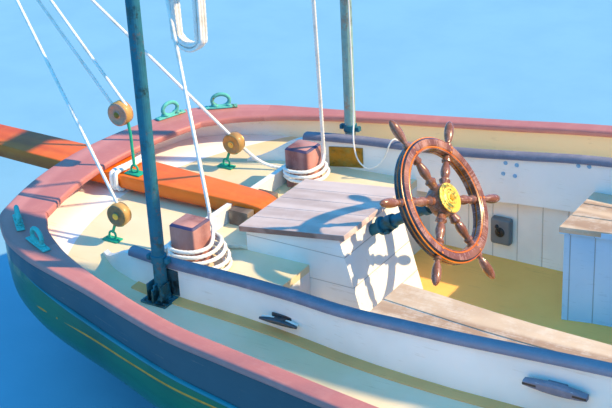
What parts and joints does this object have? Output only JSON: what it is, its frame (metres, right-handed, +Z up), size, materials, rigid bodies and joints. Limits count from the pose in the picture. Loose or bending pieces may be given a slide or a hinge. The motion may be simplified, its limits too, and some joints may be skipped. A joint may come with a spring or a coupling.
{
  "type": "wooden sailboat",
  "caption": "Traditional wooden sailing yacht afloat, with counter stern, boomkin, wheel in a coamed cockpit, cabin, mast, boom and bowsprit.",
  "frame": {"origin": "on the centreline in the plane of the water, under the middle of the hull", "axes": "+X to the bow, +Y to port, +Z up"},
  "size_m": [12.2564, 2.904, 12.3503],
  "materials": {
    "topsides": "gloss dark green paint on planking",
    "cream_deck": "matt cream deck paint",
    "white_paint": "satin white paint",
    "ochre_sole": "matt ochre paint",
    "rail_wood": "worn rose paint",
    "weathered_wood": "bare weathered teak",
    "varnished_wood": "gloss varnish",
    "wheel_wood": "gloss varnish",
    "bitt_wood": "worn oiled hardwood",
    "verdigris": "bronze with verdigris",
    "brass": "polished",
    "bronze": "dull bronze",
    "spar_wood": "varnished spruce",
    "wire": "galvanised",
    "canvas": "sailcloth",
    "bottom_paint": "matt red bottom paint",
    "engine": "painted",
    "panel": "grey",
    "rope": "three-strand rope"
  },
  "bodies": {
    "root": {"hull": "topsides", "engine": "engine", "keel": "bottom_paint", "deck": "cream_deck", "boomkin": "varnished_wood", "boomkin_chock": "weathered_wood", "bulwark_starboard": "white_paint", "bulwark_port": "white_paint", "taffrail": "rail_wood", "caprail_port": "rail_wood", "caprail_starboard": "rail_wood", "cockpit_sole": "ochre_sole", "cockpit_lining": "white_paint", "coaming": "white_paint", "coaming_cap_port": "weathered_wood", "coaming_cap_starboard": "weathered_wood", "steering_box": "white_paint", "shaft_housing": "verdigris", "bench_port": "weathered_wood", "bench_starboard": "weathered_wood", "control_panel": "panel", "bitt_port": "bitt_wood", "bitt_starboard": "bitt_wood", "gallows_post_port": "verdigris", "gallows_post_starboard": "verdigris", "gallows_beam": "varnished_wood", "sheet_block_port": "verdigris", "sheet_block_starboard": "verdigris", "centre_block": "bronze", "fairlead_port_aft": "verdigris", "fairlead_port_fore": "verdigris", "fairlead_starboard_aft": "verdigris", "fairlead_starboard_fore": "verdigris", "cabin_trunk": "white_paint", "cabin_bulkhead": "white_paint", "cabin_roof": "cream_deck", "fore_hatch_coaming": "varnished_wood", "mast": "spar_wood", "bowsprit": "spar_wood", "samson_post": "bitt_wood", "stem_head": "topsides", "forestay": "wire", "backstay": "wire", "shrouds_port": "wire", "shrouds_starboard": "wire", "hank_port": "rope", "hank_starboard": "rope", "hung_line": "rope"},
    "rudder": {"rudder": "bottom_paint"},
    "wheel": {"steering_wheel": "wheel_wood", "wheel_shaft": "brass"},
    "propeller": {"propeller": "bronze"},
    "boom": {"boom": "spar_wood", "stowed_sail": "canvas", "sheet_coil": "rope"},
    "box_lid": {"steering_box_lid": "weathered_wood"},
    "sliding_hatch": {"companion_hatch": "varnished_wood"},
    "door_port": {"companion_door_port": "varnished_wood"},
    "door_starboard": {"companion_door_starboard": "varnished_wood"},
    "fore_hatch": {"fore_hatch_lid": "varnished_wood"}
  },
  "joints": [
    {"name": "rudder_turn", "type": "hinge", "parent": "root", "child": "rudder", "pos_m": [-2.7, 0, -1.35], "axis": [-0.2508, 0, 0.968], "range_deg": [-35, 35]},
    {"name": "wheel_turn", "type": "hinge", "parent": "root", "child": "wheel", "pos_m": [-2.76, 0, 0.891], "axis": [0.8517, 0, 0.524], "range_deg": [-540, 540]},
    {"name": "propeller_spin", "type": "hinge", "parent": "root", "child": "propeller", "pos_m": [-2.64, 0, -0.73], "axis": [1, 0, 0], "continuous": true},
    {"name": "boom_swing", "type": "hinge", "parent": "root", "child": "boom", "pos_m": [1.24, 0, 1.985], "axis": [0, 0, 1], "range_deg": [-65, 65]},
    {"name": "box_lid_open", "type": "hinge", "parent": "root", "child": "box_lid", "pos_m": [-3.513, 0, 0.719], "axis": [0, -1, 0], "range_deg": [0, 70]},
    {"name": "hatch_slide", "type": "slide", "parent": "root", "child": "sliding_hatch", "axis": [0.9995, 0, 0.031], "range_m": [0, 0.55]},
    {"name": "door_port_swing", "type": "hinge", "parent": "root", "child": "door_port", "pos_m": [-1.192, 0.325, 0.9], "axis": [0, 0, -1], "range_deg": [0, 165]},
    {"name": "door_starboard_swing", "type": "hinge", "parent": "root", "child": "door_starboard", "pos_m": [-1.192, -0.325, 0.9], "axis": [0, 0, 1], "range_deg": [0, 165]},
    {"name": "fore_hatch_open", "type": "hinge", "parent": "root", "child": "fore_hatch", "pos_m": [2.692, 0, 1.028], "axis": [0, 1, 0], "range_deg": [0, 85]}
  ],
  "couplings": [
    {"joint": "wheel_turn", "follows": "rudder_turn", "ratio": 15.4}
  ]
}
